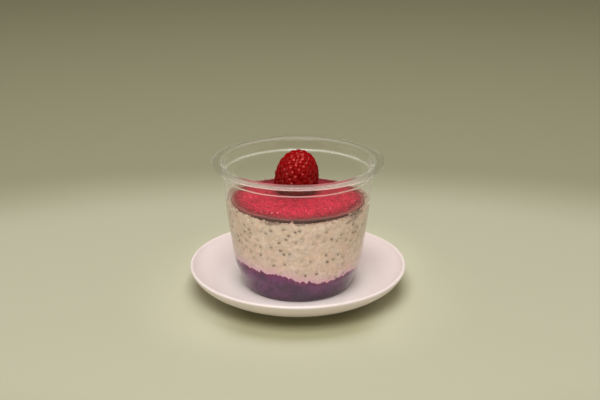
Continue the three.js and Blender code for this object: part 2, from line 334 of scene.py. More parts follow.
def powder_top(x, y):
    """Height of the powder's surface: slightly mounded, lumpy and grainy."""
    share = hypot(x, y) / powder_edge_radius(atan2(y, x))
    mound = powder_crown + (powder_edge - powder_crown) * min(share, 1) ** 3 + disc_lean(y)
    place = Vector((x, y, 0))
    lumps = 0.22 * mm * noise.noise(place / (2.4 * mm)) + 0.2 * mm * noise.noise(place / (0.9 * mm))
    grain = 0.13 * mm * noise.noise(place / (0.42 * mm))
    return mound + lumps + grain


# Helpers: modelling

def start_piece(name):
    """Names the new primitive and puts its place in its mesh."""
    piece = bpy.context.object
    piece.name = name
    bpy.ops.object.transform_apply(location=True, rotation=True, scale=True)
    return piece


def turned_body(name, outline, sectors):
    """A round body: one point is extruded along an outline that runs from axis to axis, then spun."""
    radius, height = outline[0]
    bpy.ops.mesh.primitive_plane_add(size=mm, location=(radius, 0, height))
    piece = start_piece(name)
    bpy.ops.object.mode_set(mode="EDIT")
    bpy.ops.mesh.merge(type="CENTER")
    for (radius, height), (next_radius, next_height) in zip(outline, outline[1:]):
        step = (next_radius - radius, 0, next_height - height)
        bpy.ops.mesh.extrude_vertices_move(TRANSFORM_OT_translate={"value": step})
    bpy.ops.mesh.select_all(action="SELECT")
    bpy.ops.mesh.spin(steps=sectors, angle=full_turn, center=(0, 0, 0), axis=(0, 0, 1))
    bpy.ops.mesh.select_all(action="SELECT")
    bpy.ops.mesh.remove_doubles(threshold=weld)
    bpy.ops.mesh.normals_make_consistent(inside=False)
    bpy.ops.object.mode_set(mode="OBJECT")
    bpy.ops.object.shade_smooth()
    return piece


def reshape(piece, rule):
    """Moves each point of a piece to where the rule puts it."""
    for vertex in piece.data.vertices:
        vertex.co = rule(vertex.co)
    piece.data.update()


def mark(piece, name, rule):
    """Gives each point of a piece a number that its material reads."""
    marks = piece.data.attributes.new(name, "FLOAT", "POINT")
    for vertex in piece.data.vertices:
        marks.data[vertex.index].value = rule(vertex.co)


def add_object(name, data):
    added = bpy.data.objects.new(name, data)
    bpy.context.collection.objects.link(added)
    return added


class Scatter:
    """Copies of one small pattern, each with its place and a shade of its own, joined to one piece."""

    def __init__(self, name, pattern):
        self.name = name
        self.pattern = pattern
        self.places = []
        self.shades = []

    def add(self, place, shade):
        self.places.append(place)
        self.shades.append(shade)

    def join(self, material, slot, *nodes):
        """Joins the copies and finishes the piece."""
        corners = np.array([(*vertex.co, 1) for vertex in self.pattern.data.vertices])
        faces = [tuple(face.vertices) for face in self.pattern.data.polygons]
        points = np.concatenate([corners @ np.array(place.transposed()) for place in self.places])[:, :3]
        joined_faces = []
        for copy in range(len(self.places)):
            first = copy * len(corners)
            joined_faces += [tuple(first + corner for corner in face) for face in faces]
        mesh = bpy.data.meshes.new(self.name)
        mesh.from_pydata(points.tolist(), [], joined_faces, shade_flat=False)
        marks = mesh.attributes.new("own_shade", "FLOAT", "POINT")
        marks.data.foreach_set("value", np.repeat(self.shades, len(corners)))
        piece = add_object(self.name, mesh)
        bpy.data.objects.remove(self.pattern)
        finish_piece(piece, material, slot, *nodes)
        return piece


def ball(segments, rings):
    """A small pattern ball of diameter 1."""
    bpy.ops.mesh.primitive_uv_sphere_add(segments=segments, ring_count=rings, radius=0.5)
    return start_piece("pattern")


def finish_piece(piece, material, slot, *nodes):
    """Gives a piece its material, puts it under the root body and hides the CAD parts that it replaces."""
    piece.data.materials.append(material)
    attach(piece, "root")
    if nodes:
        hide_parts(*nodes)


# Helpers: shader maths

class Term:
    """A number on a socket. Sums on terms add the nodes that work them out."""

    def __init__(self, look, socket):
        self.look = look
        self.socket = socket

    def work_out(self, operation, first, second):
        return self.look.node("ShaderNodeMath", {0: first, 1: second}, operation=operation)[0]

    def __add__(self, other):
        return self.work_out("ADD", self, other)

    __radd__ = __add__

    def __sub__(self, other):
        return self.work_out("SUBTRACT", self, other)

    def __rsub__(self, other):
        return self.work_out("SUBTRACT", other, self)

    def __mul__(self, other):
        return self.work_out("MULTIPLY", self, other)

    __rmul__ = __mul__

    def __pow__(self, other):
        return self.work_out("POWER", self, other)


class Look:
    """A material that is built up from nodes. Its colour is covered step by step."""

    def __init__(self, name, colour):
        self.material = bpy.data.materials.new(name)
        self.material.use_nodes = True
        self.tree = self.material.node_tree
        self.tree.nodes.clear()
        self.place = self.node("ShaderNodeTexCoord")["Object"]
        self.colour = colour

    def node(self, kind, sockets=None, **settings):
        """Adds a node with values or links on its sockets. Gives its outputs, by number and by name."""
        node = self.tree.nodes.new(kind)
        for key, value in settings.items():
            setattr(node, key, value)
        for key, value in (sockets or {}).items():
            if isinstance(value, Term):
                self.tree.links.new(value.socket, node.inputs[key])
            else:
                node.inputs[key].default_value = value
        outputs = [*enumerate(node.outputs), *node.outputs.items()]
        return {key: Term(self, socket) for key, socket in outputs}

    def noise(self, size, detail=3.0, distortion=0.0):
        """Soft noise from 0 to 1 with patches of about a size in millimetres."""
        sockets = {"Vector": self.place, "Scale": 1 / (size * mm), "Detail": detail}
        return self.node("ShaderNodeTexNoise", {**sockets, "Distortion": distortion})["Fac"]

    def between(self, value, low, high):
        """0 where a value is under low, 1 where it is over high, and smooth between them."""
        sockets = {"Value": value, "From Min": low, "From Max": high}
        return self.node("ShaderNodeMapRange", sockets, interpolation_type="SMOOTHSTEP")[0]

    def blend(self, share, first, second):
        """Goes from the first colour at share 0 to the second at share 1."""
        return self.node("ShaderNodeMix", {0: share, 6: first, 7: second}, data_type="RGBA")[2]

    def cover(self, share, tint):
        """Covers a share of the colour with a tint."""
        self.colour = self.blend(share, self.colour, tint)

    def patch(self, tint, share, size, low, high, **settings):
        """Covers a share of the colour with a tint, in patches that begin where noise passes low."""
        self.cover(self.between(self.noise(size, **settings), low, high) * share, tint)

    def axes(self, direction=None):
        """A direction, or the place on the piece, by axis."""
        return self.node("ShaderNodeSeparateXYZ", {"Vector": direction or self.place})

    def turned_away(self):
        """0 where the surface faces the viewer, 1 where it is seen edge on."""
        return self.node("ShaderNodeLayerWeight", {"Blend": 0.5})["Facing"]

    def marked(self, name):
        """A number that the piece's points carry."""
        return self.node("ShaderNodeAttribute", attribute_name=name)["Fac"]

    def bump(self, height, depth):
        """Relief of a depth in millimetres."""
        sockets = {"Height": height, "Distance": depth * mm, "Strength": 1.0}
        return self.node("ShaderNodeBump", sockets)["Normal"]

    def surface(self, sockets):
        """A surface in the colour that the material has by then."""
        return self.node("ShaderNodeBsdfPrincipled", {"Base Color": self.colour, **sockets})[0]

    def mix(self, share, first, second):
        """Goes from the first shader at share 0 to the second at share 1."""
        return self.node("ShaderNodeMixShader", {0: share, 1: first, 2: second})[0]

    def done(self, shader):
        self.node("ShaderNodeOutputMaterial", {"Surface": shader})
        return self.material

    def plain(self, sockets):
        """The material, where one surface is all that it has."""
        return self.done(self.surface(sockets))


def out_from_axis(spot):
    """How far a place lies from the upright axis."""
    return (spot["X"] * spot["X"] + spot["Y"] * spot["Y"]) ** 0.5


def tone(red, green, blue):
    """A colour from its screen values, 0 to 255, as the shader's own numbers."""
    linear = []
    for part in (red, green, blue):
        part /= 255
        linear.append(part / 12.92 if part <= 0.04045 else ((part + 0.055) / 1.055) ** 2.4)
    return (*linear, 1)


# Materials

def satin_glaze():
    look = Look("satin_glaze", tone(246, 231, 227))
    look.cover(look.noise(24), tone(241, 226, 223))
    # Painted light: the glaze is lighter towards the middle, where the pot shades the saucer
    middle = look.between(out_from_axis(look.axes()), 50 * mm, 36 * mm)
    look.cover(middle * 0.9, tone(255, 243, 238))
    look.patch(tone(214, 196, 184), 0.12, 0.8, 0.62, 0.72)
    ripple = look.noise(6) + 0.25 * look.noise(0.7)
    return look.plain({
        "Roughness": 0.34 + 0.12 * look.noise(9),
        "Coat Weight": 0.3,
        "Coat Roughness": 0.22,
        "Normal": look.bump(ripple, 0.05),
    })


def clear_plastic():
    """Clear plastic that is a little frosty where it is seen edge on; frost at the ledge, lip and mouth
    paints highlight lines and a reflection veil, strongest at the front.
    """
    look = Look("clear_plastic", (0.985, 0.985, 0.98, 1))
    spot = look.axes()
    radius = out_from_axis(spot)

    # Each goes from 0 at the start to 1 at the end, in millimetres over a level
    def up(level, start, end):
        return look.between(spot["Z"], level + start * mm, level + end * mm)

    def out(level, start, end):
        return look.between(radius, level + start * mm, level + end * mm)

    def away(start, end):
        return look.between(spot["Y"], start * mm, end * mm)

    # Parts of the pot, each 1 in that part and 0 elsewhere
    front = away(-22, -42)
    near = away(12, -8)
    back = away(8, 36)
    foot = up(0, 22, 10)
    empty = up(0, 50, 58)
    neck = up(pot_ledge_height, -1, 4)
    outside = out(pot_neck_radius, -0.4, -0.2)
    ledge = up(pot_ledge_height, -1, -0.6) * up(pot_ledge_height, 0.5, 0.2)
    under_lip = up(pot_rim_height, -1.3, -1.9) * up(pot_ledge_height, 0.3, 1.3)
    lip = out(pot_neck_radius, 0.2, 1)
    lip_edge = out(lip_radius, -1.2, -0.8) * up(pot_rim_height, -0.5, -1.3)
    mouth = up(pot_rim_height, -1, -0.4) * out(pot_neck_radius, 1.6, 0.6)
    bend = up(pot_rim_height, -2.4, -1.8) * out(pot_neck_radius, 2.0, 1.2)

    look.cover(look.noise(15), (0.995, 0.995, 0.99, 1))
    look.cover(neck * back, (0.985, 0.945, 0.93, 1))
    # Painted shade: the neck below the lip is darker at the front
    look.cover(under_lip * front, (0.78, 0.76, 0.75, 1))
    scuffs = look.between(look.noise(2.5, detail=6.0), 0.55, 0.75)
    gloss = (0.35 + 0.65 * neck + 0.25 * foot) * (1 - 0.8 * lip_edge) * (1 - 0.9 * bend)
    clear = look.surface({
        "Roughness": 0.015 + 0.03 * scuffs + 0.35 * bend + 0.2 * lip_edge,
        "IOR": 1.04,
        "Transmission Weight": 1.0,
        "Coat Weight": gloss * (1 - 0.8 * mouth * (1 - front) * (1 - back)),
        "Coat IOR": 1.5,
        "Coat Roughness": 0.04,
        "Normal": look.bump(look.noise(9), 0.01),
    })

    milky = look.blend(scuffs, (0.86, 0.84, 0.74, 1), (0.92, 0.9, 0.82, 1))
    # Painted reflection: the frost at the front is pink, as from the red powder behind it
    painted_pink_glow = look.blend(ledge, (1.0, 0.68, 0.66, 1), (1.0, 0.42, 0.46, 1))
    frost = look.surface({"Base Color": look.blend(front, milky, painted_pink_glow), "Roughness": 0.35})
    edge_on = look.between(look.turned_away(), 0.5, 0.95)
    frost_and_painted_highlights = (0.22 + 0.12 * empty) * edge_on * (1 - lip) * (1 - 0.7 * neck)
    # Frost at the ledge, lip, mouth and lip edge paints highlight lines and a reflection veil, strongest at
    # the front
    frost_and_painted_highlights += ledge * (0.1 + 0.05 * back + (0.66 * near + 0.32 * front + 0.08 * back) * outside)
    frost_and_painted_highlights += (0.01 + 0.14 * front) * lip
    frost_and_painted_highlights += (0.05 + 0.13 * back + 0.1 * front) * mouth
    frost_and_painted_highlights += (0.04 + 0.18 * front) * lip_edge
    moulded = look.mix(frost_and_painted_highlights, clear, frost)

    # Shadows of clear plastic are faint
    open_way = look.node("ShaderNodeBsdfTransparent", {"Color": (0.97, 0.97, 0.96, 1)})[0]
    shadow = look.node("ShaderNodeLightPath")["Is Shadow Ray"]
    return look.done(look.mix(shadow, moulded, open_way))


def berry_puree():
    look = Look("berry_puree", tone(68, 28, 58))
    look.patch(tone(110, 54, 100), 1, 6, 0.3, 0.7, distortion=0.8)
    look.patch(tone(66, 48, 76), 0.6, 9, 0.48, 0.66, distortion=0.5)
    look.patch(tone(70, 40, 68), 0.4, 1.1, 0.6, 0.72)
    look.cover(look.marked("near_oats") * 0.7, tone(140, 34, 74))
    look.cover(look.between(look.axes()["Z"], 11 * mm, 5 * mm) * 0.5, tone(56, 26, 40))
    return look.plain({
        "Roughness": 0.4 + 0.2 * look.noise(1.5),
        "Subsurface Weight": 0.15,
        "Subsurface Scale": 0.8 * mm,
        "Normal": look.bump(look.noise(1.4), 0.12),
    })


def mottle(look):
    """Soft warm and cool patches, a few millimetres across."""
    look.patch(tone(218, 180, 156), 0.35, 8, 0.48, 0.66, detail=2.0, distortion=0.4)
    look.patch(tone(184, 168, 154), 0.5, 4.4, 0.52, 0.68, detail=2.0, distortion=0.6)


def dust_and_painted_shade(look):
    """Oats that face up are darker, with powder and syrup on them and painted shade against the light from
    above; places next to the disc get painted shade.
    """
    upward = look.axes(look.node("ShaderNodeNewGeometry")["Normal"])["Z"]
    look.cover(look.between(upward, 0.05, 0.6) * 0.75, tone(152, 114, 96))
    # Painted shade in places next to the disc
    shade_amount = look.marked("painted_shade") + 1.1 * (look.noise(1.5, detail=4.0) - 0.5)
    look.cover(look.between(shade_amount, 0.25, 1.0) * 0.8, tone(112, 86, 68))


def soaked_oats():
    look = Look("soaked_oats", tone(199, 173, 149))
    look.patch(tone(214, 190, 169), 1, 4.5, 0.38, 0.62, distortion=0.6)
    mottle(look)
    cells = {"Vector": look.place, "Scale": 1 / (3.0 * mm)}
    flakes = look.node("ShaderNodeTexVoronoi", cells, feature="SMOOTH_F1")["Distance"]
    look.cover(look.between(flakes, 0.5, 0.9) * 0.35, tone(188, 166, 147))
    look.patch(tone(232, 212, 197), 0.4, 1.7, 0.52, 0.66, detail=4.0)
    look.patch(tone(178, 144, 118), 0.25, 1.1, 0.56, 0.68, detail=4.0, distortion=0.8)
    halo = look.marked("seed_gel") * look.between(look.noise(1.2), 0.25, 0.6)
    look.cover(halo * 0.6, tone(168, 148, 128))
    bleed = look.marked("berry_bleed")
    stain = bleed * look.between(look.noise(1.6) + bleed, 0.35, 1.0)
    look.cover(stain * 0.9, tone(212, 164, 184))
    dust_and_painted_shade(look)
    # Painted shade in the gap next to the disc, brown as melted chocolate
    crevice_shade = look.marked("crevice_shade")
    shady = crevice_shade + 0.6 * crevice_shade * (look.noise(1.4) - 0.5)
    look.cover(look.between(shady, 0.08, 0.85), tone(96, 68, 54))
    return look.plain({
        "Roughness": 0.55 + 0.2 * look.noise(2),
        "Subsurface Weight": 0.2,
        "Subsurface Scale": 1.2 * mm,
        "Normal": look.bump(look.noise(1.3) + 0.7 * flakes, 0.1),
    })


def oat_flake():
    look = Look("oat_flake", tone(193, 166, 142))
    look.cover(look.marked("own_shade"), tone(221, 198, 178))
    look.patch(tone(188, 158, 132), 0.4, 1.2, 0.4, 0.7)
    mottle(look)
    dust_and_painted_shade(look)
    return look.plain({
        "Roughness": 0.6,
        "Subsurface Weight": 0.2,
        "Subsurface Scale": 1.0 * mm,
        "Normal": look.bump(look.noise(0.7), 0.08),
    })


def seed_coat():
    look = Look("seed_coat", tone(122, 98, 80))
    look.cover(look.marked("own_shade"), tone(198, 168, 144))
    look.patch(tone(106, 84, 68), 0.35, 0.35, 0.5, 0.65)
    relief = look.bump(look.noise(0.3), 0.03)
    return look.plain({"Roughness": 0.45, "Normal": relief})


def orange_fleck():
    look = Look("orange_fleck", tone(168, 104, 74))
    look.cover(look.marked("own_shade"), tone(224, 180, 152))
    look.cover(look.noise(0.7) * 0.6, tone(216, 184, 160))
    return look.plain({"Roughness": 0.5})


def dark_chocolate():
    look = Look("dark_chocolate", tone(70, 40, 34))
    look.patch(tone(96, 62, 54), 1, 3, 0.4, 0.75)
    dust = look.marked("dusting")
    grains = look.between(look.noise(0.9, detail=4.0) + dust, 0.6, 1.15)
    look.cover(grains * 0.8, tone(94, 50, 44))
    look.cover(look.between(dust, 0.55, 1.0) * 0.8, tone(138, 72, 64))
    relief = look.bump(look.noise(1.0) + 0.4 * grains, 0.1)
    return look.plain({"Roughness": 0.42 + 0.3 * grains, "Normal": relief})


def painted_back_shade(look):
    """Powder at the back is darker: painted shade."""
    look.cover(look.between(look.axes()["Y"], 5 * mm, 21 * mm) * 0.8, tone(114, 4, 18))


def berry_powder():
    look = Look("berry_powder", tone(148, 2, 30))
    look.patch(tone(204, 20, 54), 1, 2.6, 0.38, 0.62, detail=4.0)
    look.patch(tone(222, 48, 78), 0.5, 0.9, 0.35, 0.65, detail=4.0)
    look.patch(tone(112, 4, 22), 0.5, 1.5, 0.56, 0.72)
    thin = look.marked("thinning") + 0.4 * (look.noise(1.2, detail=4.0) - 0.5)
    look.cover(look.between(thin, 0.15, 0.8) * 0.6, tone(128, 26, 38))
    look.cover(look.between(thin, 0.55, 1.1) * 0.8, tone(100, 50, 46))
    painted_back_shade(look)
    relief = look.bump(look.noise(0.4, detail=4.0), 0.15)
    return look.plain({"Roughness": 0.9, "Normal": relief})


def powder_crumb():
    look = Look("powder_crumb", tone(116, 2, 20))
    shade = look.marked("own_shade")
    look.cover(shade, tone(222, 52, 80))
    look.cover(look.between(shade, 0.97, 0.99), tone(240, 150, 144))
    painted_back_shade(look)
    return look.plain({"Roughness": 0.85})


def raspberry_skin():
    """Moist where the skin faces the viewer, downy where it turns away."""
    look = Look("raspberry_skin", tone(78, 0, 0))
    height = look.axes()["Z"]
    # Painted shade: darker towards the foot, lighter towards the tip
    look.cover(look.between(height, raspberry_foot, raspberry_tip), tone(144, 0, 6))
    look.cover(look.marked("own_shade") * 0.3, tone(152, 2, 12))
    # Powder dust at the foot, in a dusky mauve that paints the shade under the fruit
    low = look.between(height, raspberry_foot + 4 * mm, raspberry_foot + mm)
    look.cover(low * 0.85, tone(165, 36, 64))
    skin = {
        "Subsurface Weight": 0.15,
        "Subsurface Scale": 1.5 * mm,
        "Normal": look.bump(look.noise(0.9), 0.05),
    }
    moist = look.surface({
        **skin,
        "Roughness": 0.04 + 0.09 * look.noise(1.1),
        "IOR": 1.62,
        "Specular Tint": (1, 0.23, 0.19, 1),
    })
    downy = look.surface({**skin, "Roughness": 0.7, "Specular IOR Level": 0.0})
    downy_share = look.between(look.turned_away() + 0.6 * low, 0.25, 0.7)
    return look.done(look.mix(downy_share, moist, downy))


def studio_floor():
    """A plain floor, darker far away, with a painted shadow under the saucer and painted light beside it.
    """
    look = Look("studio_floor", tone(191, 188, 163))
    spot = look.axes()
    distance = (0.3 * spot["X"] * spot["X"] + spot["Y"] * spot["Y"]) ** 0.5
    look.cover(look.between(distance + 0.01 * look.noise(80), 0.13, 0.23), tone(156, 154, 125))
    from_middle = out_from_axis(spot)
    under = look.between(from_middle, 78 * mm, 60 * mm)
    beside = look.between(spot["X"] * spot["X"], 0.0006, 0.0024)
    # Painted shadow under the saucer, left out at its sides
    look.cover(0.8 * under * (1 - beside), tone(166, 162, 124))
    near = look.between(from_middle, 110 * mm, 70 * mm) * beside
    # Painted light beside the saucer
    look.cover(0.3 * near, tone(208, 205, 176))
    return look.plain({"Roughness": 0.8})


# Pieces

def make_saucer():
    crest_round = saucer_crest_width / 2
    recess = saucer_floor_height - saucer_floor_thickness
    inner_foot = [(foot_inner_radius, recess), (foot_inner_radius, 0), (foot_outer_radius, 0)]
    outer_foot = [(foot_inner_radius, 0), (foot_outer_radius, 0), (40.2 * mm, 1.9 * mm)]
    outline = [
        (0, recess),
        (foot_inner_radius - foot_edge_round, recess),
        *rounded_corner(*inner_foot, foot_edge_round),
        *rounded_corner(*outer_foot, foot_edge_round),
        *smooth_through(in_metres(saucer_underside), 24),
        *arc(saucer_radius - crest_round, saucer_crest_height - crest_round, crest_round, 8, 150, 10),
        *smooth_through(in_metres(saucer_upper_side), 30),
        (16 * mm, saucer_floor_height),
        (0, saucer_floor_height),
    ]
    saucer = turned_body("saucer_dish", outline, shell_sectors)
    finish_piece(saucer, satin_glaze(), "saucer", "saucer")


def make_pot():
    body = pot_outline(40)
    inside = offset_outline(body, pot_wall)
    neck_inside = pot_neck_radius - pot_wall
    lip_under = pot_rim_height - lip_thickness
    edge_low = pot_rim_height - lip_edge_drop + lip_edge_round
    edge_inside = lip_radius - lip_edge_thickness
    edge_outside = lip_radius - lip_edge_round
    shoulder = body[-1]
    ledge = (pot_neck_radius, pot_ledge_height)
    under_lip = (pot_neck_radius, lip_under)
    inner_shoulder = inside[-1]
    inner_ledge = (neck_inside, pot_ledge_height + pot_wall)
    outline = [
        (0, pot_base_height + pot_push_up),
        *body[:-1],
        *rounded_corner(body[-2], shoulder, ledge, pot_ledge_round),
        *rounded_corner(shoulder, ledge, under_lip, pot_ledge_round),
        *arc(pot_neck_radius + lip_fillet, lip_under - lip_fillet, lip_fillet, 180, 90, 8),
        *rounded_corner(under_lip, (edge_inside, lip_under), (edge_inside, edge_low), lip_corner_round),
        *arc(edge_inside + lip_edge_round, edge_low, lip_edge_round, 180, 270, 5),
        *arc(edge_outside, edge_low, lip_edge_round, 270, 360, 5),
        *arc(edge_outside, pot_rim_height - lip_edge_round, lip_edge_round, 0, 90, 6),
        *arc(neck_inside + mouth_round, pot_rim_height - mouth_round, mouth_round, 90, 180, 14),
        *rounded_corner((neck_inside, lip_under), inner_ledge, inner_shoulder, pot_ledge_round),
        *rounded_corner(inner_ledge, inner_shoulder, inside[-2], pot_ledge_round),
        *reversed(inside[:-1]),
        (0, pot_base_height + pot_push_up + pot_wall),
    ]
    pot = turned_body("clear_pot", outline, shell_sectors)
    finish_piece(pot, clear_plastic(), "clear_plastic", "pot")


def make_berry_layer():
    side_rows = 26
    top_rows = 14
    edge_radius = contents_radius(berry_mean_height)
    rise = berry_mean_height - berry_corner_height
    side_heights = [berry_corner_height + rise * row / side_rows for row in range(side_rows + 1)]
    top_shares = [1 - (row / top_rows) ** 1.5 for row in range(1, top_rows + 1)]
    outline = [
        (0, contents_outline[0][1]),
        *contents_outline[:3],
        *[(contents_radius(height), height) for height in side_heights],
        *[(edge_radius * share, berry_mean_height) for share in top_shares],
    ]
    layer = turned_body("berry_layer_fill", outline, food_sectors)

    def lean(point):
        angle, radius = polar(point)
        if point.z > berry_mean_height - weld:
            share = radius / edge_radius
            return wall_point(angle, berry_top(angle, share), share)
        if point.z > berry_corner_height:
            share = (point.z - berry_corner_height) / rise
            height = berry_corner_height + share * (berry_top(angle) - berry_corner_height)
            return wall_point(angle, height)
        return point

    reshape(layer, lean)
    mark(layer, "near_oats", lambda point: exp((point.z - berry_top(polar(point)[0])) / berry_tint_reach))
    finish_piece(layer, berry_puree(), "berry", "berry_layer")


def make_oats_layer(seed_places):
    bottom_rows = 12
    side_rows = 84
    rim_rows = 7
    low = 20 * mm
    high = 50 * mm
    edge_radius = oats_side_radius
    edge_inner = edge_radius - mm
    outline = [
        *[(edge_radius * (row / bottom_rows) ** 0.7, low) for row in range(bottom_rows + 1)],
        *[(edge_radius, low + (high - low) * row / side_rows) for row in range(1, side_rows + 1)],
        *[(edge_radius - (row / rim_rows) * mm, high) for row in range(1, rim_rows + 1)],
        (edge_inner, high - 0.5 * mm),
        (edge_inner, high - mm),
        (0, high - mm),
    ]
    layer = turned_body("oats_fill", outline, food_sectors)

    def settle(point):
        angle, radius = polar(point)
        if point.z < low + weld:
            share = radius / edge_radius
            return wall_point(angle, berry_top(angle, share) + food_gap, share)
        bottom = berry_top(angle) + food_gap
        if radius > edge_radius - weld:
            share = (point.z - low) / (high - low)
            top = oats_rim_top(angle) + oats_crumbs(angle) - oats_rim_round
            return wall_point(angle, bottom + share * (top - bottom))
        seat = seat_height + disc_lean(point.y)
        if point.z > high - weld:
            share = max(0, min(1, (edge_radius - radius) / mm))
            spot = oats_rim_point(angle, share)
            lump = noise.noise(Vector((spot.x, spot.y, 0)) / (1.1 * mm)) * sin(pi * share)
            return spot + Vector((0, 0, 0.6 * mm * lump))
        if point.z > high - 0.6 * mm:
            return at_angle(angle, seat_radius - 0.3 * mm, seat)
        return at_angle(angle, radius / edge_inner * (seat_radius - 0.6 * mm), seat)

    reshape(layer, settle)
    gel_reach = 2.1 * mm
    gel_core = 1.0 * mm
    tree = kdtree.KDTree(len(seed_places))
    for i, place in enumerate(seed_places):
        tree.insert(place.to_translation(), i)
    tree.balance()

    def gel(point):
        _, _, distance = tree.find(point)
        return max(0, min(1, (gel_reach - distance) / (gel_reach - gel_core)))

    def bleed(point):
        above = point.z - berry_top(polar(point)[0])
        return exp(-max(above, 0) / berry_bleed_reach)

    # Painted shade in the gap between the oats' rim and the disc, strongest at the front and at the dip
    def crevice_shade(point):
        angle, radius = polar(point)
        inward = contents_radius(min(point.z, oats_rim_top(angle))) - radius
        front = max(-sin(angle), 0)
        left = max(-cos(angle), 0)
        shade = 0.1 + 0.9 * front**3 * (1 - 0.5 * left) + 0.9 * near_dip(angle)
        return max(0, min(1, (inward - 0.5 * mm) / (1.4 * mm))) * min(1, shade)

    mark(layer, "seed_gel", gel)
    mark(layer, "berry_bleed", bleed)
    mark(layer, "crevice_shade", crevice_shade)
    mark(layer, "painted_shade", painted_shade_share)
    finish_piece(layer, soaked_oats(), "oats", "oats_layer")


def wall_place(angle, height, reach, turn, size):
    """A matrix that lays a pattern on the pot's inner wall, reaching a little into it."""
    depth = size[0]
    radius = contents_radius(height) + reach - depth / 2
    stand = Matrix.Translation(at_angle(angle, radius, height)) @ Matrix.Rotation(angle, 4, "Z")
    return stand @ Matrix.Rotation(turn, 4, "X") @ Matrix.Diagonal((*size, 1))


def seed_spots():
    """Where seeds lie against the wall: more of them higher up, none on top of each other."""
    draw = random.Random(23)
    apart = 2.3 * mm
    spots = []

    # Groups that lie close together: angle in degrees, height and count
    groups = [(306, 42 * mm, 5), (228, 44 * mm, 4), (323, 45 * mm, 4)]
    for middle, height, count in groups:
        for _ in range(count):
            spots.append((radians(middle) + draw.gauss(0, 0.055), height + draw.gauss(0, 2.0 * mm)))
    while len(spots) < seed_count:
        angle = draw.uniform(0, full_turn)
        share = draw.random()
        low = berry_top(angle)
        height = low + 1.6 * mm + share * (oats_rim_top(angle) - low - 4 * mm)
        crowd = 0.5 + 0.5 * share + 0.25 * abs(cos(angle))
        place = wall_point(angle, height)
        near = any((place - wall_point(*spot)).length < apart for spot in spots)
        if draw.random() < crowd and not near:
            spots.append((angle, height))
    return spots


def make_seeds():
    draw = random.Random(5)
    seeds = Scatter("chia_seeds", ball(8, 5))
    for angle, height in seed_spots():
        size = (0.6 * mm, draw.uniform(1.7, 2.6) * mm, draw.uniform(1.2, 1.8) * mm)
        reach = draw.uniform(0.1, 0.22) * mm
        seeds.add(wall_place(angle, height, reach, draw.uniform(0, pi), size), draw.random())
    seeds.join(seed_coat(), "oats")
    return seeds.places


def make_flakes():
    draw = random.Random(77)
    flakes = Scatter("oat_flakes", ball(10, 5))
    for _ in range(flake_count):
        angle = draw.uniform(0, full_turn)
        low = berry_top(angle) + 2.5 * mm
        height = draw.uniform(low, oats_rim_top(angle) - 1.5 * mm)
        size = (0.8 * mm, draw.uniform(3.0, 5.2) * mm, draw.uniform(2.2, 3.8) * mm)
        reach = draw.uniform(0.02, 0.07) * mm
        flakes.add(wall_place(angle, height, reach, draw.uniform(0, pi), size), draw.random())
    mark(flakes.join(oat_flake(), "oats"), "painted_shade", painted_shade_share)


def make_rim_clumps():
    """Clumps of oats along the upper edge of the layer, against the wall."""
    draw = random.Random(58)
    clumps = Scatter("oat_clumps", ball(9, 6))
    for _ in range(clump_count):
        angle = draw.uniform(0, full_turn)
        height = oats_rim_top(angle) - draw.uniform(0.3, 2.4) * mm
        size = (draw.uniform(0.9, 1.6) * mm, draw.uniform(1.4, 3.4) * mm, draw.uniform(0.9, 1.8) * mm)
        reach = draw.uniform(0, 0.1) * mm
        clumps.add(wall_place(angle, height, reach, draw.gauss(0, 0.5), size), draw.random())
    mark(clumps.join(oat_flake(), "oats"), "painted_shade", painted_shade_share)


def make_rim_bits():
    """Bits of oats, and a few of chocolate, that lie between the disc and the wall."""
    draw = random.Random(31)
    for name, count, material, slot in (
        ("oat_bits", oat_bit_count, oat_flake(), "oats"),
        ("chocolate_bits", chocolate_bit_count, dark_chocolate(), "chocolate"),
    ):
        bits = Scatter(name, ball(8, 5))
        for _ in range(count):
            angle = draw.uniform(0, full_turn)
            if draw.random() < 0.8 * max(-sin(angle), 0) ** 6:
                continue
            spot = oats_rim_point(angle, draw.uniform(0.2, 1.0))
            size = draw.uniform(0.5, 1.4) * mm
            spot.z += draw.uniform(-0.1, 0.25) * size + 1.2 * mm * draw.random() * near_dip(angle)
            stretch = Matrix.Diagonal((size * draw.uniform(0.6, 1), size, size * draw.uniform(0.4, 0.7), 1))
            turn = Matrix.Rotation(draw.uniform(0, full_turn), 4, "Z")
            bits.add(Matrix.Translation(spot) @ turn @ stretch, draw.random())
        piece = bits.join(material, slot)
        if slot == "oats":
            mark(piece, "painted_shade", painted_shade_share)


def make_orange_flecks():
    """A few orange flecks: angle in degrees, height, length and shade of each."""
    draw = random.Random(3)
    flecks = Scatter("orange_flecks", ball(8, 5))
    for angle, height, length, shade in (
        (236.5, 49.4 * mm, 3.6 * mm, 0.85),
        (236.5, 47.0 * mm, 1.4 * mm, 0.0),
        (318, 30 * mm, 2.2 * mm, 0.6),
        (316, 34 * mm, 1.8 * mm, 0.8),
        (60, 38 * mm, 2.4 * mm, 0.5),
        (150, 30 * mm, 2.0 * mm, 0.7),
        (12, 47 * mm, 2.6 * mm, 0.9),
    ):
        size = (0.8 * mm, length, length * draw.uniform(0.6, 0.8))
        place = wall_place(radians(angle), height, 0.14 * mm, draw.uniform(0, pi), size)
        flecks.add(place, shade)
    flecks.join(orange_fleck(), "oats")


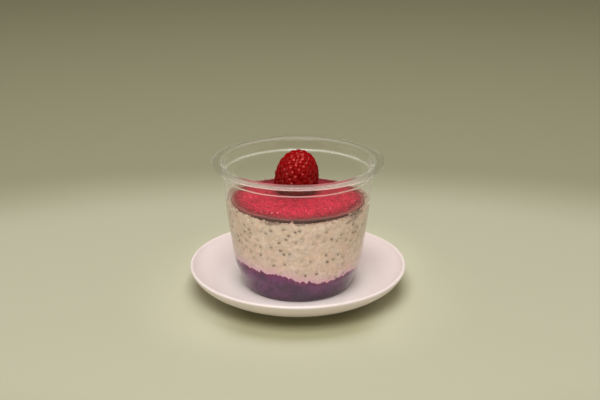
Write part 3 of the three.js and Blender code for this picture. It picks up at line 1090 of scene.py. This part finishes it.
def make_disc():
    low = disc_top - disc_thickness
    edge = 0.5 * mm
    across = disc_radius - edge
    rows = [across * (1 - row / 12) for row in range(1, 12)]
    outline = [
        (0, low),
        (across * 0.6, low),
        *arc(across, low + edge, edge, -90, 0, 5),
        *[(disc_radius, low + edge + (disc_thickness - 2 * edge) * row / 4) for row in range(1, 4)],
        *arc(across, disc_top - edge, edge, 0, 90, 5),
        *[(radius, disc_top) for radius in rows],
        (0, disc_top),
    ]
    disc = turned_body("chocolate_round", outline, food_sectors)

    def crumble(point):
        angle, radius = polar(point)
        lean = disc_lean(point.y)
        if radius < disc_radius * 0.9:
            return point + Vector((0, 0, lean))
        out = disc_unevenness * waves(angle, (3, 8, 13), 0.7)
        chips = 0.12 * mm * noise.noise(point / (1.3 * mm)) + 0.08 * mm * noise.noise(point / (0.6 * mm))
        return at_angle(angle, radius + out + chips, point.z + lean)

    reshape(disc, crumble)

    def dusting(point):
        angle, radius = polar(point)
        side = abs(cos(angle))
        fall = max(0, disc_top + disc_lean(point.y) - 0.2 * mm - point.z) / dust_fall
        beyond = (radius - powder_edge_radius(angle)) / dust_reach
        return max(0, min(1, 0.9 + 0.8 * side**2 - beyond - fall * (1 - side**2)))

    mark(disc, "dusting", dusting)
    finish_piece(disc, dark_chocolate(), "chocolate", "chocolate_disc")


def make_powder():
    rows = 96
    sunk = 0.05 * mm
    outline = [
        *[(powder_radius * share, disc_top - sunk) for share in (0, 0.8, 1)],
        *[(powder_radius * (1 - row / rows), disc_top + mm) for row in range(rows + 1)],
    ]
    powder = turned_body("raspberry_powder_heap", outline, food_sectors)

    def heap(point):
        angle, radius = polar(point)
        share = radius / powder_radius
        out = share * powder_edge_radius(angle)
        place = at_angle(angle, out, 0)
        ground = disc_top + disc_lean(place.y)
        if point.z < disc_top:
            return at_angle(angle, out, ground - sunk)
        slope = 0.09 + 0.12 * max(sin(angle), 0)
        taper = max(0, min(1, (1 - share) / slope)) ** 0.7
        height = ground + (powder_top(place.x, place.y) - ground) * taper
        return at_angle(angle, out, height)

    def thinning(point):
        angle, radius = polar(point)
        return max(0, 1 - (powder_edge_radius(angle) - radius) / powder_thin_reach)

    reshape(powder, heap)
    mark(powder, "thinning", thinning)
    finish_piece(powder, berry_powder(), "powder", "raspberry_powder")


def make_powder_crumbs():
    """Crumbs on the powder, every seventh one finer and beside it on the disc."""
    draw = random.Random(11)
    bpy.ops.mesh.primitive_ico_sphere_add(subdivisions=1, radius=0.5)
    crumbs = Scatter("powder_crumbs", start_piece("pattern"))
    for i in range(crumb_count):
        angle = draw.uniform(0, full_turn)
        reach = powder_edge_radius(angle)
        radius = reach * sqrt(draw.random()) * 0.99
        size = draw.uniform(0.4, 1.15) * mm
        if i % 7 == 0:
            radius = min(reach + abs(draw.gauss(0, 1.2)) * mm, disc_radius - 0.4 * mm)
            size = draw.uniform(0.3, 0.6) * mm
        x = radius * cos(angle)
        y = radius * sin(angle)
        ground = powder_top(x, y) if radius < reach else disc_top + disc_lean(y)
        spot = Vector((x, y, ground - 0.1 * size))
        twist = draw.uniform(0, full_turn)
        axis = Vector((draw.random(), draw.random(), 1)).normalized()
        stretch = Matrix.Diagonal((size, size * draw.uniform(0.6, 1), size * draw.uniform(0.5, 0.9), 1))
        crumbs.add(Matrix.Translation(spot) @ Matrix.Rotation(twist, 4, axis) @ stretch, draw.random())
    crumbs.join(powder_crumb(), "powder")


def raspberry_outline(degrees):
    """A point of the raspberry's outline from its foot at -90 degrees to its tip at 90."""
    angle = radians(degrees)
    across = max(cos(angle), 0)
    along = abs(sin(angle))
    if degrees > 0:
        rise = (raspberry_tip - raspberry_widest) * along
        return Vector((raspberry_radius * across**raspberry_tip_bluntness, raspberry_widest + rise))
    drop = (raspberry_widest - raspberry_foot) * along**raspberry_foot_flatness
    return Vector((raspberry_radius * across**raspberry_foot_flatness, raspberry_widest - drop))


def raspberry_shift(height):
    """How far the leaning raspberry has moved sideways at a height."""
    share = (height - raspberry_foot) / (raspberry_tip - raspberry_foot)
    return Vector((raspberry_foot_shift + (raspberry_tip_shift - raspberry_foot_shift) * share, 0, 0))


def make_raspberry():
    """Drupelets on a spiral, each with the same share of the fruit's surface, round a heart."""
    draw = random.Random(19)
    steps = 720
    points = [raspberry_outline(180 * step / steps - 90) for step in range(steps + 1)]
    areas = [0.0]
    for before, after in zip(points, points[1:]):
        areas.append(areas[-1] + pi * (before.x + after.x) * (after - before).length)
    across = sqrt(areas[-1] / drupelet_count) * 1.6
    fruit = Scatter("raspberry_fruit", ball(16, 10))
    for i in range(drupelet_count):
        wanted = areas[-1] * (i + 0.5) / drupelet_count
        step = next(k for k, area in enumerate(areas) if area >= wanted)
        along = (points[min(step + 4, steps)] - points[max(step - 4, 0)]).normalized()
        radius, height = points[step]
        angle = i * golden_angle + draw.uniform(-0.7, 0.7) * mm / max(radius, 3 * mm)
        outward = at_angle(angle, along.y, -along.x)
        size = across * draw.uniform(0.84, 1.12)
        tip = at_angle(angle, radius - draw.uniform(-0.1, 0.2) * mm, height) + raspberry_shift(height)
        centre = tip - outward * size * 0.5
        turn = outward.to_track_quat("Z", "Y").to_matrix().to_4x4()
        fruit.add(Matrix.Translation(centre) @ turn @ Matrix.Diagonal((size, size, size, 1)), draw.random())
    fruit.join(raspberry_skin(), "raspberry", "raspberry")

    heart_outline = [(point.x * 0.9, point.y - 0.4 * mm) for point in points[::24]]
    heart_outline[0] = (0, raspberry_foot + 0.3 * mm)
    heart_outline[-1] = (0, raspberry_tip - 1.2 * mm)
    heart = turned_body("raspberry_heart", heart_outline, 48)
    reshape(heart, lambda point: point + raspberry_shift(point.z))
    mark(heart, "own_shade", lambda point: 0.0)
    finish_piece(heart, raspberry_skin(), "raspberry")


# Studio

def make_camera():
    data = bpy.data.cameras.new("photo_view")
    data.lens = camera_lens
    data.sensor_width = camera_sensor
    camera = add_object("photo_view", data)
    camera.location = camera_place
    camera.rotation_euler = (camera_tilt, 0, 0)
    bpy.context.scene.camera = camera


def make_floor():
    bpy.ops.mesh.primitive_plane_add(size=floor_width)
    floor = start_piece("floor")
    floor.data.materials.append(studio_floor())


def make_light(name, place, aim, size, power, colour):
    data = bpy.data.lights.new(name, "AREA")
    data.shape = "RECTANGLE"
    data.size, data.size_y = size
    data.energy = power
    data.color = colour
    light = add_object(name, data)
    light.location = place
    light.rotation_euler = (Vector(aim) - Vector(place)).to_track_quat("-Z", "Y").to_euler()
    light.visible_camera = False


def make_studio():
    make_floor()
    make_light("key_softbox", (-0.06, -0.5, 1.1), (0, 0, 0.02), (0.75, 0.75), 11.1, (1, 1, 1.03))
    make_light("front_softbox", (0, -1.3, 0.1), (0, 0, 0.06), (2.6, 0.17), 3.1, (0.92, 1, 1))
    make_light("left_softbox", (-1.4, 0.1, 0.45), (0, 0, 0.06), (1.2, 0.9), 2.2, (1, 1, 1))
    make_light("right_softbox", (1.4, 0.1, 0.45), (0, 0, 0.06), (1.2, 0.9), 2.0, (1, 1, 1))
    make_light("top_softbox", (0.1, 0.45, 1.15), (0, 0, 0.03), (0.7, 0.5), 3.0, (1, 0.99, 0.97))
    scene = bpy.context.scene
    world = bpy.data.worlds.new("studio_air")
    world.use_nodes = True
    sky = world.node_tree.nodes["Background"]
    sky.inputs["Color"].default_value = (1.0, 0.92, 0.6, 1)
    sky.inputs["Strength"].default_value = 0.18
    scene.world = world
    scene.view_settings.view_transform = "Standard"
    scene.cycles.max_bounces = 16
    scene.cycles.transmission_bounces = 12
    scene.cycles.transparent_max_bounces = 16


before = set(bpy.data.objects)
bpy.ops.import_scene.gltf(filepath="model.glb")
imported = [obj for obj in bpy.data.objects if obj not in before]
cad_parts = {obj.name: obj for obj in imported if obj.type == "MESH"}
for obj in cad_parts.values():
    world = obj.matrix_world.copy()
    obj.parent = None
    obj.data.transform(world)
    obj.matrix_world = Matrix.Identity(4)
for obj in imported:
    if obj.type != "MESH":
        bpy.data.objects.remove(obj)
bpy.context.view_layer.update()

make_camera()
make_studio()
make_saucer()
make_pot()
make_berry_layer()
make_oats_layer(make_seeds())
make_flakes()
make_rim_clumps()
make_rim_bits()
make_orange_flecks()
make_disc()
make_powder()
make_powder_crumbs()
make_raspberry()
